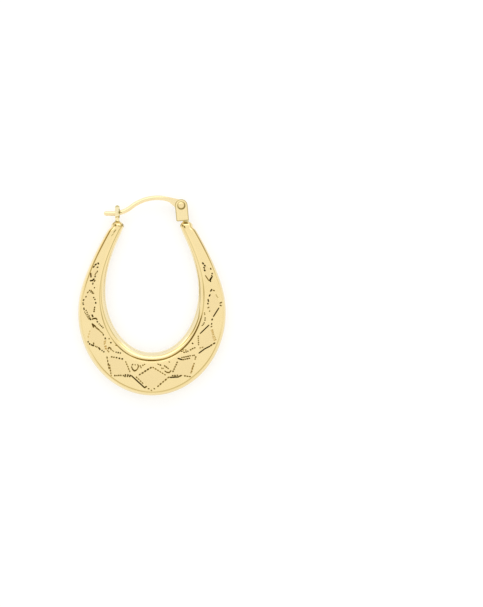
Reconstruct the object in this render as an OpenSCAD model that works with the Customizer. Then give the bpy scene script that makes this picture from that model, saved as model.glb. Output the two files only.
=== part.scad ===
// Creole hoop earring: a hollow gold crescent with a hinged ear wire that closes it.
// It lies on its back, so the front faces +Z. The ear wire is towards +Y, its hinge towards +X.
// Lengths are in millimetres. The origin is under the middle of the outline, at the lowest point.

/* [Body outline] */
// Half the width of the body's centre line at its widest
centre_half_width = 8.33; // [8.2:0.01:8.5]
// Depth of the centre line below its widest place
centre_depth = 9.96; // [9.8:0.01:10.2]
// Height of the arms' ends above the widest place
arm_rise = 10.66; // [10.6:0.01:10.7]
// Half the distance between the middles of the two ends
arm_gap_half = 4.83; // [4.7:0.01:4.85]
// Lean of the arms' ends towards each other, in degrees
arm_lean = 30.3; // [28:0.1:32]
// How far the arm's curve pulls upwards at the widest place
lower_pull = 3.95; // [3.6:0.05:4.2]
// How far the arm's curve pulls along its lean at the end
upper_pull = 2.56; // [2.3:0.02:2.8]
// Height that the domed cap on each end would have without its flat top
cap_rise = 0.72; // [0.6:0.01:0.74]

/* [Body section] */
// Half the body's width at the bottom, the widest part of the crescent
bottom_half_width = 3.03; // [2.9:0.01:3.2]
// Half the body's thickness at the bottom
bottom_half_thick = 1.5; // [1.4:0.01:1.6]
// Wall that is left round the hollow, across the width
side_wall = 0.32; // [0.3:0.01:0.4]
// Wall that is left round the hollow, through the thickness
face_wall = 0.4; // [0.35:0.01:0.45]

/* [Ear wire] */
// Diameter of the ear wire
wire_dia = 0.65; // [0.6:0.01:0.66]
// Height of the straight tip above the body's widest place
tip_height = 12.5; // [12.45:0.01:12.55]
// Distance of the tip's free end from the centre line
tip_reach = 6.74; // [6.6:0.01:6.9]
// Distance of the straight tip's inner end from the centre line
tip_bend = 5.44; // [5.4:0.01:5.5]
// Radius of the bend that rises from the tip
rise_radius = 4.06; // [4.0:0.01:4.1]
// Angle that the rising bend turns through, in degrees
rise_angle = 38.8; // [38.5:0.1:39]
// Radius of the crown on the tip's side
crown_radius = 5.92; // [5.85:0.01:6]
// Radius of the crown on the hinge's side
shoulder_radius = 4.85; // [4.8:0.01:4.9]
// Angle that the hinge's side of the crown turns through, in degrees
shoulder_angle = 22; // [21:0.1:23]

/* [Hinge] */
// Distance of the rivet from the centre line
rivet_x = 4.11; // [4.08:0.01:4.14]
// Height of the rivet above the body's widest place
rivet_y = 13.62; // [13.6:0.01:13.65]
// Diameter of the rivet
rivet_dia = 0.6; // [0.5:0.01:0.64]
// Diameter of the rivet's heads
head_dia = 1; // [0.9:0.01:1.1]
// Height of each domed head
head_rise = 0.18; // [0.14:0.01:0.22]
// Radial clearance of the rivet in the wire's eye
eye_clearance = 0.04; // [0.02:0.01:0.06]
// Diameter of the flattened eye at the end of the wire
eye_dia = 1.6; // [1.5:0.01:1.64]
// Width of the fork that holds the eye
fork_width = 1.75; // [1.7:0.01:1.8]
// Distance from the rivet to the foot of the fork
fork_drop = 2.17; // [2.1:0.01:2.25]
// Lean of the fork, in degrees
fork_lean = 5.5; // [3:0.1:6]
// Thickness of each side and of the foot of the fork
fork_wall = 0.33; // [0.3:0.01:0.4]

/* [Catch] */
// Distance of the catch from the centre line
catch_x = 4.84; // [4.8:0.01:4.88]
// Thickness of each of the two prongs
prong_thick = 0.3; // [0.25:0.01:0.35]
// Clearance between the wire and each prong
prong_clearance = 0.05; // [0.03:0.01:0.08]
// Height of the prongs' tips above the middle of the wire
prong_rise = 1.15; // [1:0.01:1.3]

/* [Hidden] */
$fn = 64;

// Columns of the table of sections
RUN = 0;
HALF_WIDTH = 1;
HALF_THICK = 2;
RIM = 3;
EDGE = 4;

// One row for each section of the body, by its distance from the bottom along the centre line:
// distance, half width, half thickness, width of the inner rim, width of the outer bevel
body_rows = [
    [ 0.00, bottom_half_width, bottom_half_thick, 1.05, 0.50],
    [ 3.00, 2.93, 1.47, 1.03, 0.50],
    [ 7.50, 2.64, 1.40, 1.00, 0.48],
    [11.30, 2.29, 1.30, 0.92, 0.44],
    [15.10, 1.85, 1.18, 0.78, 0.38],
    [18.80, 1.38, 1.07, 0.60, 0.32],
    [22.10, 1.10, 1.00, 0.46, 0.29],
    [25.10, 0.93, 0.96, 0.39, 0.26],
    [25.80, 0.92, 0.95, 0.38, 0.26],
];
last_row = len(body_rows) - 1;

// Shape of the inner rim: share of the rim's width from the opening, share of the half thickness
rim_shape = [[0, 0], [0.03, 0.25], [0.14, 0.45], [0.36, 0.60], [0.62, 0.68], [0.84, 0.69], [1, 0.60]];
// Shape of the outer bevel, from its crease to the outline, in the same two shares
edge_shape = [[0.66, 0.70], [0.32, 0.52], [0.1, 0.28], [0, 0]];
// Width of the groove between the rim and the face
groove_width = 0.1;
// Height of the face at the groove and at the crease, as shares of the half thickness
face_at_groove = 0.72;
face_at_crease = 0.80;
// Steps across the face, along the quarter below the widest place, along the arm and over the cap
face_steps = 5;
quarter_steps = 24;
arm_steps = 19;
cap_steps = 4;
// The cap's flat top is this far round its dome, in degrees, and a lower fullness is blunter
cap_turn = 60;
cap_fullness = 0.75;
// Lengths at the arm's end where the section turns level and where the moulding fades out
level_run = 1.4;
fade_run = 0.5;
fade_gap = 0.15;
// Sides of the hollow, and how far it stops short of the arm's end
hollow_sides = 14;
hollow_stop = 0.9;

// The outline's middle is midway between the wire's crown and the body's bottom
wire_r = wire_dia / 2;
rise_end = [-tip_bend + rise_radius * sin(rise_angle), tip_height + rise_radius * (1 - cos(rise_angle))];
crown_centre = rise_end + crown_radius * [sin(rise_angle), -cos(rise_angle)];
crown_top = crown_centre + [0, crown_radius];
shoulder_centre = crown_top - [0, shoulder_radius];
outline_top = crown_top[1] + wire_r;
outline_bottom = -centre_depth - bottom_half_width;
outline_middle = (outline_top + outline_bottom) / 2;

// The rings that join the wire's stretches, and how many degrees of the wire the eye swallows
ring_rise = 0.002;
ring_width = 0.02;
eye_bite = 3;
shoulder_turn = shoulder_angle + eye_bite;

// The fork's slot and the flattened eye
eye_half_thick = wire_r + 0.01;
slot_half = eye_half_thick + 0.04;
fork_half_thick = slot_half + fork_wall;
rivet_fit = 0.01;

// The catch's gap, its bend and its foot
catch_gap_half = wire_r + prong_clearance;
catch_bend_y = tip_height - 0.01;
catch_foot_y = catch_bend_y - catch_gap_half - prong_thick;

// The round necks under the catch and the fork, which stand on the caps' flat tops
neck_foot_y = arm_rise + 0.25;
neck_bite = 0.15;
catch_neck_r = 0.31;
fork_neck_x = 4.8;
fork_neck_r = 0.31;

// A value in the table between its rows, by a smooth curve
function row_below(run) = min(last_row - 1, len([for (row = body_rows) if (row[RUN] <= run) 1]) - 1);
function steepness(low, high, column) =
    (body_rows[high][column] - body_rows[low][column]) / (body_rows[high][RUN] - body_rows[low][RUN]);
function row_slope(i, column) = i == 0 ? 0 : steepness(i - 1, min(i + 1, last_row), column);
function section_value(run, column) =
    let (i = row_below(run))
    let (span = body_rows[i + 1][RUN] - body_rows[i][RUN])
    let (t = (run - body_rows[i][RUN]) / span)
    (2 * t^3 - 3 * t^2 + 1) * body_rows[i][column]
    + (t^3 - 2 * t^2 + t) * span * row_slope(i, column)
    + (3 * t^2 - 2 * t^3) * body_rows[i + 1][column]
    + (t^3 - t^2) * span * row_slope(i + 1, column);

// The centre line of the right half: a quarter of an ellipse, then the arm's curve
function quarter_point(t) = [centre_half_width * sin(90 * t), -centre_depth * cos(90 * t)];
function arm_point(t) =
    let (start = [centre_half_width, 0])
    let (finish = [arm_gap_half, arm_rise])
    let (start_pull = start + [0, lower_pull])
    let (finish_pull = finish + upper_pull * [sin(arm_lean), -cos(arm_lean)])
    (1 - t)^3 * start + 3 * (1 - t)^2 * t * start_pull + 3 * (1 - t) * t^2 * finish_pull + t^3 * finish;
right_line = [
    for (i = [0 : quarter_steps]) quarter_point(i / quarter_steps),
    for (i = [1 : arm_steps]) arm_point(i / arm_steps),
];
last_point = len(right_line) - 1;

// Distance of each point from the bottom, along the line
function step_length(i) = i == 0 ? 0 : norm(right_line[i] - right_line[i - 1]);
function run_to(i) = i == 0 ? 0 : run_to(i - 1) + step_length(i);
half_length = run_to(last_point);

// Angle of the section at a point, from +X; it turns level towards the arm's end
function ramp(t) = let (s = min(1, max(0, t))) s * s * (3 - 2 * s);
function line_direction(i) =
    i == 0 ? [1, 0]
    : i == last_point ? [-sin(arm_lean), cos(arm_lean)]
    : right_line[i + 1] - right_line[i - 1];
function section_angle(i) =
    let (along = line_direction(i))
    atan2(-along[0], along[1]) * (1 - ramp((run_to(i) - half_length + level_run) / level_run));

// The moulded section of the front, from the opening across to the outline
function face_height(t) =
    face_at_groove + (face_at_crease - face_at_groove) * t
    + (4 - 2 * (face_at_groove + face_at_crease)) * t * (1 - t);
function moulded_front(width, thick, rim, edge) = [
    for (point = rim_shape) [-width + point[0] * rim, point[1] * thick],
    for (i = [0 : face_steps])
        let (t = i / face_steps)
        [-width + rim + groove_width + t * (2 * width - rim - groove_width - edge), face_height(t) * thick],
    for (point = edge_shape) [width - point[0] * edge, point[1] * thick],
];

// The same points on a plain oval, for the smooth caps
function on_oval(point, width, thick) =
    let (turn = atan2(point[1] / thick, point[0] / width))
    [width * cos(turn), thick * sin(turn)];
function both_faces(front) =
    concat(front, [for (i = [len(front) - 2 : -1 : 1]) [front[i][0], -front[i][1]]]);
function body_section(run) =
    let (width = section_value(run, HALF_WIDTH))
    let (thick = section_value(run, HALF_THICK))
    let (plain = ramp((run - half_length + fade_run + fade_gap) / fade_run))
    let (front = moulded_front(width, thick, section_value(run, RIM), section_value(run, EDGE)))
    both_faces([for (point = front) point * (1 - plain) + on_oval(point, width, thick) * plain]);

// A section set in its place: its points run across the body and through its thickness
function placed(section, centre, angle, share = 1) = [
    for (point = section)
        [centre[0] + share * point[0] * cos(angle), centre[1] + share * point[0] * sin(angle), share * point[1]]
];
function body_loop(i) = placed(body_section(run_to(i)), right_line[i], section_angle(i));
function cap_loop(turn) =
    let (centre = right_line[last_point] + [0, cap_rise * sin(turn)])
    placed(body_section(half_length), centre, 0, cos(turn)^cap_fullness);
function mirrored(loop) = [for (point = loop) [-point[0], point[1], point[2]]];
right_loops = [
    for (i = [0 : last_point]) body_loop(i),
    for (i = [1 : cap_steps]) cap_loop(cap_turn * i / cap_steps),
];

// The hollow inside: a plain oval that follows the same line
function hollow_section(run) =
    let (width = section_value(run, HALF_WIDTH) - side_wall)
    let (thick = section_value(run, HALF_THICK) - face_wall)
    let (turn = 360 / hollow_sides)
    [for (i = [0 : hollow_sides - 1]) [-width * cos(i * turn), thick * sin(i * turn)]];
hollow_loops = [
    for (i = [0 : 2 : last_point])
        if (run_to(i) < half_length - hollow_stop)
            placed(hollow_section(run_to(i)), right_line[i], section_angle(i))
];

function both_arms(loops) =
    concat([for (i = [len(loops) - 1 : -1 : 1]) mirrored(loops[i])], loops);

// A skin over a row of loops that all have the same number of points
module skin(loops) {
    sides = len(loops[0]);
    points = [for (loop = loops) for (point = loop) point];
    first_cap = [for (i = [0 : sides - 1]) i];
    last_cap = [for (i = [sides - 1 : -1 : 0]) (len(loops) - 1) * sides + i];
    walls = [
        for (j = [0 : len(loops) - 2])
            for (i = [0 : sides - 1])
                let (here = j * sides + i)
                let (next = j * sides + (i + 1) % sides)
                for (face = [[here, next + sides, next], [here, here + sides, next + sides]]) face
    ];
    polyhedron(points = points, faces = concat([first_cap], walls, [last_cap]));
}

// The hollow crescent: two pressed halves, joined round the outline, with a domed cap on each end
module crescent() {
    difference() {
        skin(both_arms(right_loops));
        skin(both_arms(hollow_loops));
    }
}

// The fork that holds the wire's eye: two round-topped sides on a foot, soldered to the right cap
module hinge_fork() {
    translate([rivet_x, rivet_y, 0])
        rotate(fork_lean)
            difference() {
                linear_extrude(2 * fork_half_thick, center = true) {
                    circle(d = fork_width);
                    translate([-fork_width / 2, -fork_drop])
                        square([fork_width, fork_drop]);
                }
                translate([-fork_width, fork_wall - fork_drop, -slot_half])
                    cube([2 * fork_width, 2 * fork_drop, 2 * slot_half]);
                cylinder(r = rivet_dia / 2 + rivet_fit, h = 4 * fork_half_thick, center = true);
            }
    translate([fork_neck_x, neck_foot_y, 0])
        rotate([-90, 0, 0])
            cylinder(r = fork_neck_r, h = rivet_y - fork_drop + neck_bite - neck_foot_y);
}

// The catch: a strip bent into a fork of two prongs, on a neck soldered to the left cap
module catch_side() {
    translate([-prong_thick - catch_gap_half, catch_bend_y])
        square([2 * (prong_thick + catch_gap_half), prong_rise + 0.01]);
    translate([0, catch_bend_y])
        circle(r = prong_thick + catch_gap_half);
}
module catch_gap() {
    translate([-catch_gap_half, catch_bend_y])
        square([2 * catch_gap_half, 2 * prong_rise]);
    translate([0, catch_bend_y])
        circle(r = catch_gap_half);
}
module catch_front() {
    translate([-wire_r, 0])
        square([wire_dia, tip_height + prong_rise - wire_r]);
    translate([0, tip_height + prong_rise - wire_r])
        circle(r = wire_r);
}
module catch() {
    translate([-catch_x, 0, 0])
        intersection() {
            rotate([0, 90, 0])
                linear_extrude(2 * wire_dia, center = true)
                    difference() {
                        catch_side();
                        catch_gap();
                    }
            linear_extrude(4 * catch_gap_half, center = true)
                catch_front();
        }
    translate([-catch_x, neck_foot_y, 0])
        rotate([-90, 0, 0])
            cylinder(r = catch_neck_r, h = catch_foot_y + neck_bite - neck_foot_y);
}

// A point on the ear wire where it joins the flattened eye, at one side of the wire
function shoulder_point(side) =
    shoulder_centre + (shoulder_radius + side) * [sin(shoulder_angle), cos(shoulder_angle)];

// A hair-thin ring over the place where two stretches of the ear wire meet, which joins them
module joint_ring(place, angle) {
    translate([place[0], place[1], 0])
        rotate([0, 90, angle])
            cylinder(r = wire_r + ring_rise, h = ring_width, center = true);
}

// An arc of the ear wire, about a centre, from one direction through an angle
module wire_arc(centre, radius, start, turn) {
    translate([centre[0], centre[1], 0])
        rotate(start)
            rotate_extrude(angle = turn)
                translate([radius, 0])
                    circle(d = wire_dia);
}

// Everything is drawn about the body's widest place and its middle layer, then set on the surface
module in_place() {
    translate([0, -outline_middle, bottom_half_thick])
        children();
}

module hoop() {
    color([0.96, 0.84, 0.5])
        in_place()
            union() {
                crescent();
                hinge_fork();
                catch();
            }
}

module ear_wire() {
    color([1, 0.9, 0.6])
        in_place()
            difference() {
                union() {
                    translate([-tip_bend, tip_height, 0])
                        rotate([0, -90, 0])
                            cylinder(d = wire_dia, h = tip_reach - wire_r - tip_bend);
                    translate([wire_r - tip_reach, tip_height, 0])
                        sphere(d = wire_dia);
                    wire_arc([-tip_bend, tip_height + rise_radius], rise_radius, -90, rise_angle);
                    wire_arc(crown_centre, crown_radius, 90, rise_angle);
                    wire_arc(shoulder_centre, shoulder_radius, 90 - shoulder_turn, shoulder_turn);
                    joint_ring([-tip_bend, tip_height], 0);
                    joint_ring(rise_end, rise_angle);
                    joint_ring(crown_top, 0);
                    linear_extrude(2 * eye_half_thick, center = true) {
                        translate([rivet_x, rivet_y])
                            circle(d = eye_dia);
                        polygon([
                            shoulder_point(eye_half_thick),
                            [rivet_x, rivet_y] + eye_dia / 2 * [cos(72), sin(72)],
                            [rivet_x, rivet_y] + eye_dia / 2 * [cos(228), sin(228)],
                            shoulder_point(-eye_half_thick),
                        ]);
                    }
                }
                translate([rivet_x, rivet_y, 0])
                    cylinder(r = rivet_dia / 2 + eye_clearance, h = 4 * wire_dia, center = true);
            }
}

// A domed head on the outside of the fork
module rivet_head() {
    dome_r = (head_dia^2 / 4 + head_rise^2) / (2 * head_rise);
    translate([0, 0, fork_half_thick])
        intersection() {
            translate([0, 0, head_rise - dome_r])
                sphere(r = dome_r);
            cylinder(d = 2 * head_dia, h = head_rise);
        }
}

module hinge_rivet() {
    color([0.93, 0.8, 0.45])
        in_place()
            translate([rivet_x, rivet_y, 0]) {
                cylinder(d = rivet_dia, h = 2 * fork_half_thick, center = true);
                rivet_head();
                mirror([0, 0, 1])
                    rivet_head();
            }
}

hoop();
ear_wire();
hinge_rivet();
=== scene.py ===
import math
import bpy
import numpy as np
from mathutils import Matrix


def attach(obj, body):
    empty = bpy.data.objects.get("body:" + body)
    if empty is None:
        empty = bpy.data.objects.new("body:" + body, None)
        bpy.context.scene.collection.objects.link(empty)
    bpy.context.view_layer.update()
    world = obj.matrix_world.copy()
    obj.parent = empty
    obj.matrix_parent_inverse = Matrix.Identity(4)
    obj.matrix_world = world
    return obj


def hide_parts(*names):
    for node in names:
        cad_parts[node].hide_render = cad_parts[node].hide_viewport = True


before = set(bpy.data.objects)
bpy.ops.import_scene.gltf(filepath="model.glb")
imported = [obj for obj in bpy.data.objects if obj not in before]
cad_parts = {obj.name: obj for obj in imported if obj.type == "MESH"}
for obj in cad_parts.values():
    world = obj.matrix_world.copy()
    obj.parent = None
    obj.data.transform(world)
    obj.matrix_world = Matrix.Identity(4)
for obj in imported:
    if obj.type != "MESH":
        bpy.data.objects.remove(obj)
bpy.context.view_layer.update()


# The engraved front of the crescent: the upper of the two pressed halves of
# thin gold that make the hollow body. It has a rounded rim round the opening,
# a groove, a crowned face with cut lozenges and scrolls, and an outer bevel.

# Lengths are in millimetres about the body's widest place and middle layer
MIDDLE_RISE = 1.5
OUTLINE_MIDDLE = 1.0186036
CREASED_FROM = math.radians(35)


def to_metres(points):
    """Places in millimetres about the body, as metres in the shared frame."""
    moved = np.asarray(points, dtype=float) + [0.0, -OUTLINE_MIDDLE, MIDDLE_RISE]
    return moved / 1000.0


def make_piece(name, points, faces):
    """A mesh object from places in millimetres, smooth where it isn't creased."""
    mesh = bpy.data.meshes.new(name)
    mesh.from_pydata([tuple(p) for p in to_metres(points)], [], [list(map(int, f)) for f in faces])
    mesh.update()
    mesh.shade_smooth()
    piece = bpy.data.objects.new(name, mesh)
    bpy.context.scene.collection.objects.link(piece)
    mesh.set_sharp_from_angle(angle=CREASED_FROM)
    return piece


def mark(piece, label, values):
    """Keep a number at each point of a piece, for its material."""
    layer = piece.data.attributes.new(label, "FLOAT", "POINT")
    layer.data.foreach_set("value", np.asarray(values, dtype=np.float32).ravel())


def closed_tube(rows, sides):
    """Faces of a closed form: quads between its rings of points, and a flat end on the first and last."""
    faces = []
    for j in range(rows - 1):
        for i in range(sides):
            k = (i + 1) % sides
            faces.append((j * sides + i, j * sides + k, (j + 1) * sides + k, (j + 1) * sides + i))
    faces.append(list(range(sides))[::-1])
    faces.append(list(range((rows - 1) * sides, rows * sides)))
    return faces


def smooth_run(points, steps):
    """Places on a smooth curve through a few points, with equal steps between each two."""
    pts = np.asarray(points, dtype=float)
    ends = np.vstack([2 * pts[0] - pts[1], pts, 2 * pts[-1] - pts[-2]])
    run = []
    for k in range(1, len(ends) - 2):
        p0, p1, p2, p3 = ends[k - 1:k + 3]
        for t in np.arange(steps) / steps:
            run.append(0.5 * (2 * p1 + (p2 - p0) * t + (2 * p0 - 5 * p1 + 4 * p2 - p3) * t * t
                              + (3 * p1 - p0 - 3 * p2 + p3) * t ** 3))
    run.append(pts[-1])
    return np.array(run)


def ramp(t):
    """A soft step from 0 to 1."""
    s = np.clip(t, 0.0, 1.0)
    return s * s * (3 - 2 * s)


# The centre line: a quarter of an ellipse and the arm's curve, then its mirror image
CENTRE_HALF_WIDTH, CENTRE_DEPTH = 8.33, 9.96
ARM_RISE, ARM_GAP_HALF, ARM_LEAN = 10.66, 4.83, math.radians(30.3)
LOWER_PULL, UPPER_PULL = 3.95, 2.56
LINE_POINTS = 1500

quarter = np.linspace(0, math.pi / 2, LINE_POINTS)
quarter_line = np.stack([CENTRE_HALF_WIDTH * np.sin(quarter), -CENTRE_DEPTH * np.cos(quarter)], 1)
arm_t = np.linspace(0, 1, LINE_POINTS)[1:, None]
arm_start = np.array([CENTRE_HALF_WIDTH, 0.0])
arm_end = np.array([ARM_GAP_HALF, ARM_RISE])
arm_first_pull = arm_start + [0, LOWER_PULL]
arm_last_pull = arm_end + UPPER_PULL * np.array([math.sin(ARM_LEAN), -math.cos(ARM_LEAN)])
arm_line = ((1 - arm_t) ** 3 * arm_start + 3 * (1 - arm_t) ** 2 * arm_t * arm_first_pull
            + 3 * (1 - arm_t) * arm_t ** 2 * arm_last_pull + arm_t ** 3 * arm_end)
centre_line = np.vstack([quarter_line, arm_line])
line_steps = np.linalg.norm(np.diff(centre_line, axis=0), axis=1)
line_run = np.concatenate([[0], np.cumsum(line_steps)])
HALF_LENGTH = float(line_run[-1])
line_turn = np.unwrap(np.arctan2(-np.gradient(centre_line[:, 0]), np.gradient(centre_line[:, 1])))

# Sections: distance from the bottom, half width, half thickness, rim, outer bevel
SECTIONS = np.array([
    [0.0, 3.03, 1.50, 1.13, 0.50],
    [3.0, 2.93, 1.47, 1.15, 0.50],
    [7.5, 2.64, 1.40, 1.12, 0.48],
    [11.3, 2.29, 1.30, 0.98, 0.44],
    [15.1, 1.85, 1.18, 0.78, 0.38],
    [18.8, 1.38, 1.07, 0.60, 0.32],
    [22.1, 1.10, 1.00, 0.46, 0.29],
    [25.1, 0.93, 0.96, 0.39, 0.26],
    [25.8, 0.92, 0.95, 0.38, 0.26],
])


def section_values(run):
    """Half width, half thickness, rim and bevel at distances from the bottom."""
    rows = SECTIONS
    slope = np.zeros_like(rows)
    for k in range(1, len(rows)):
        low, high = rows[k - 1], rows[min(k + 1, len(rows) - 1)]
        slope[k] = (high - low) / (high[0] - low[0])
    below = np.clip(np.searchsorted(rows[:, 0], run, side="right") - 1, 0, len(rows) - 2)
    span = (rows[below + 1, 0] - rows[below, 0])[:, None]
    t = (run - rows[below, 0])[:, None] / span
    value = ((2 * t ** 3 - 3 * t ** 2 + 1) * rows[below] + (t ** 3 - 2 * t ** 2 + t) * span * slope[below]
             + (3 * t ** 2 - 2 * t ** 3) * rows[below + 1] + (t ** 3 - t ** 2) * span * slope[below + 1])
    return value[:, 1:]


# The moulding: each row is the share of the rim's or bevel's width, from the edge in, and the height as
# a share of the half thickness. Higher up the arms the rim meets the groove less steeply
RIM_SHAPE = [[0, 0], [0.03, 0.22], [0.14, 0.36], [0.36, 0.50], [0.60, 0.625], [0.84, 0.70], [1, 0.60]]
ARM_RIM_SHAPE = RIM_SHAPE[:-1] + [[1, 0.69]]
BEVEL_SHAPE = [[1, 0.80], [0.66, 0.70], [0.32, 0.52], [0.1, 0.28], [0, 0]]
LEFT_ARM_SHAPE_FROM, RIGHT_ARM_SHAPE_FROM, ARM_SHAPE_BLEND = 1.0, 9.0, 6.0
GROOVE_WIDTH, GROOVE_DIP, GROOVE_DIP_LEAST, CREASE_DIP = 0.10, 0.07, 0.2, 0.05
FACE_AT_GROOVE, FACE_AT_CREASE = 0.72, 0.80
# Before the caps the sections turn level and the moulding fades into a plain oval
LEVEL_RUN, FADE_RUN, FADE_GAP = 1.4, 0.5, 0.15
CAP_RISE, CAP_FULLNESS = 0.72, 0.75
CAP_TURNS = np.radians([10, 20, 30, 40, 50, 60, 70, 80, 86])
SHAPE_STEPS = 3

# The groove, the crease and a fine line along the rim are painted dark, as painted shade. Each row:
# distance along the body, how dark, and for the last two how far the line lies from its place. The groove,
# the crease and the rim line are also cut a little deeper where they are darker
GROOVE_PAINTED_SHADE = [(-26, 0.14), (-18, 0.12), (-14, 0.12), (-12, 0.22), (-9, 0.10), (-7.5, 0.20), (-6, 0.42),
                (-4, 0.28), (-2, 0.38), (0, 0.52), (2, 0.36), (4, 0.31), (6, 0.42), (9, 0.48),
                (12, 0.38), (13, 0.14), (14.5, 0.16), (16, 0.26), (18, 0.10), (26, 0.05)]
CREASE_PAINTED_SHADE = [(-25.6, 0.20, -0.10), (-24.9, 0.90, -0.11), (-22, 0.88, -0.13), (-20, 0.62, -0.12),
                (-18, 0.42, -0.14), (-16, 0.14, -0.14), (-14, 0.03, 0), (-10, 0.03, 0), (-8, 0.10, -0.10),
                (-6, 0.30, -0.06), (-2, 0.28, -0.03), (0, 0.16, 0), (2, 0.22, 0), (5, 0.26, -0.03),
                (8, 0.24, 0.02), (10, 0.12, 0.03), (12, 0.02, 0), (16, 0.02, 0), (18, 0.08, 0),
                (20, 0.36, 0.03), (22, 0.60, 0.02), (24.9, 0.58, 0.01), (25.6, 0.20, 0)]
RIM_PAINTED_SHADE = [(-19, 0, 0.56), (-16, 0.10, 0.60), (-14, 0.15, 0.63), (-8, 0.20, 0.63), (-6, 0.34, 0.63),
             (-4, 0.14, 0.62), (0, 0, 0.60), (4, 0.24, 0.62), (6, 0.36, 0.64), (8, 0.46, 0.68),
             (10, 0.62, 0.70), (12, 0.44, 0.64), (14, 0.10, 0.36), (16, 0.30, 0.22), (18, 0.16, 0.21),
             (20, 0.06, 0.12), (22, 0, 0.12)]
GROOVE_SPREAD, CREASE_SPREAD, RIM_SPREAD = 0.065, 0.062, 0.048
# A breath of painted shade on the outer bevel: distance along the body and how dark
BEVEL_PAINTED_SHADE = [(-14, 0), (-12, 0.03), (-8, 0.02), (-4, 0.012), (0, 0.03), (4, 0.035), (14, 0.025),
               (18, 0.03), (22, 0)]


def by_run(table, runs, column=1):
    """A column of a table, read at distances along the body, as one value for each section."""
    rows = np.array(table).T
    return np.interp(runs, rows[0], rows[column])[:, None]


def half_sections(runs, face_points):
    """Half of the section at each run: across, height, the part each point is on, and the crease's place."""
    width, thick, rim, bevel = (v[:, None] for v in section_values(np.abs(runs)).T)
    rim_curve, arm_rim_curve = smooth_run(RIM_SHAPE, SHAPE_STEPS), smooth_run(ARM_RIM_SHAPE, SHAPE_STEPS)
    arm_from = np.where(runs < 0, LEFT_ARM_SHAPE_FROM, RIGHT_ARM_SHAPE_FROM)
    on_arm = ramp((np.abs(runs) - arm_from) / ARM_SHAPE_BLEND)[:, None]
    rim_height = rim_curve[:, 1] * (1 - on_arm) + arm_rim_curve[:, 1] * on_arm
    bevel_curve = smooth_run(BEVEL_SHAPE, SHAPE_STEPS)[1:]
    groove_t = np.array([0.25, 0.5, 0.75])
    face_t = np.linspace(0, 1, face_points)
    face_start = -width + rim + GROOVE_WIDTH
    face_width = 2 * width - rim - GROOVE_WIDTH - bevel
    face_height = (FACE_AT_GROOVE + (FACE_AT_CREASE - FACE_AT_GROOVE) * face_t
                   + (4 - 2 * (FACE_AT_GROOVE + FACE_AT_CREASE)) * face_t * (1 - face_t))
    groove_dip = GROOVE_DIP * (GROOVE_DIP_LEAST + by_run(GROOVE_PAINTED_SHADE, runs))
    rim_end = rim_height[:, -1:]
    groove_height = (rim_end + (FACE_AT_GROOVE - rim_end) * groove_t
                     - groove_dip * np.sin(math.pi * groove_t))
    across = np.hstack([-width + rim_curve[:, 0] * rim,
                        -width + rim + groove_t * GROOVE_WIDTH,
                        face_start + face_t * face_width,
                        width - bevel_curve[:, 0] * bevel])
    height = np.hstack([rim_height * thick, groove_height * thick,
                        face_height * thick, bevel_curve[:, 1] * thick])
    part = np.repeat([0, 1, 2, 3], [len(rim_curve), len(groove_t), face_points, len(bevel_curve)])
    crease = len(rim_curve) + len(groove_t) + face_points - 1
    height[:, crease] -= CREASE_DIP * by_run(CREASE_PAINTED_SHADE, runs)[:, 0]
    plain = ramp((np.abs(runs)[:, None] - HALF_LENGTH + FADE_RUN + FADE_GAP) / FADE_RUN)
    turn = np.arctan2(height / thick, across / width)
    across = across * (1 - plain) + width * np.cos(turn) * plain
    height = height * (1 - plain) + thick * np.sin(turn) * plain
    return across, height, part, crease


def place_stations(runs, across):
    """Where each point of each section lies in plan."""
    size = np.abs(runs)
    centre = np.stack([np.interp(size, line_run, centre_line[:, 0]),
                       np.interp(size, line_run, centre_line[:, 1])], 1)
    turn = np.interp(size, line_run, line_turn) * (1 - ramp((size - HALF_LENGTH + LEVEL_RUN) / LEVEL_RUN))
    x = centre[:, :1] + across * np.cos(turn)[:, None]
    y = centre[:, 1:] + across * np.sin(turn)[:, None]
    return x * np.where(runs < 0, -1, 1)[:, None], y


def with_caps(x, y, height):
    """The stations with the domed caps added before the first and after the last."""
    share, rise = np.cos(CAP_TURNS)[:, None] ** CAP_FULLNESS, CAP_RISE * np.sin(CAP_TURNS)[:, None]
    left, right = ((middle + (x[end] - middle) * share, ARM_RISE + (y[end] - ARM_RISE) * share + rise,
                    height[end] * share) for end, middle in ((0, -ARM_GAP_HALF), (-1, ARM_GAP_HALF)))
    return [np.vstack([first[::-1], rows, last]) for first, rows, last in zip(left, (x, y, height), right)]


# Small dark seams and pits about the solder joints, and painted shade beside the necks and the catch:
# from x, y to x, y, half width and darkness
SEAM_AND_SHADE_MARKS = [
    # On the left cap and arm
    (-5.13, 10.85, -5.05, 10.87, 0.09, 0.95), (-5.05, 11.42, -4.86, 11.40, 0.06, 0.55),
    (-5.42, 11.02, -5.28, 11.20, 0.05, 0.40), (-4.71, 10.74, -4.29, 10.70, 0.05, 0.42),
    (-4.29, 10.70, -3.99, 10.88, 0.05, 0.45), (-4.10, 10.98, -4.16, 10.90, 0.06, 0.55),
    (-3.93, 10.72, -3.92, 10.50, 0.05, 0.40), (-5.30, 9.88, -5.06, 10.19, 0.05, 0.55),
    (-5.61, 9.41, -5.37, 9.65, 0.05, 0.22),
    # On the right cap; the first is painted shade at the neck's foot
    (4.56, 11.13, 4.95, 11.13, 0.07, 0.80), (4.02, 10.74, 4.15, 11.05, 0.05, 0.45),
    (4.28, 10.80, 4.35, 10.76, 0.08, 0.75), (4.53, 10.70, 4.60, 10.56, 0.07, 0.80),
    # Where the wire enters the catch, and painted shade on the catch's edge
    (-4.60, 12.66, -4.28, 12.66, 0.05, 0.40), (-4.56, 12.53, -4.58, 12.72, 0.06, 0.60),
    (-4.54, 12.82, -4.54, 13.10, 0.05, 0.50), (-4.58, 11.98, -4.56, 12.20, 0.05, 0.50),
]


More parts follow.
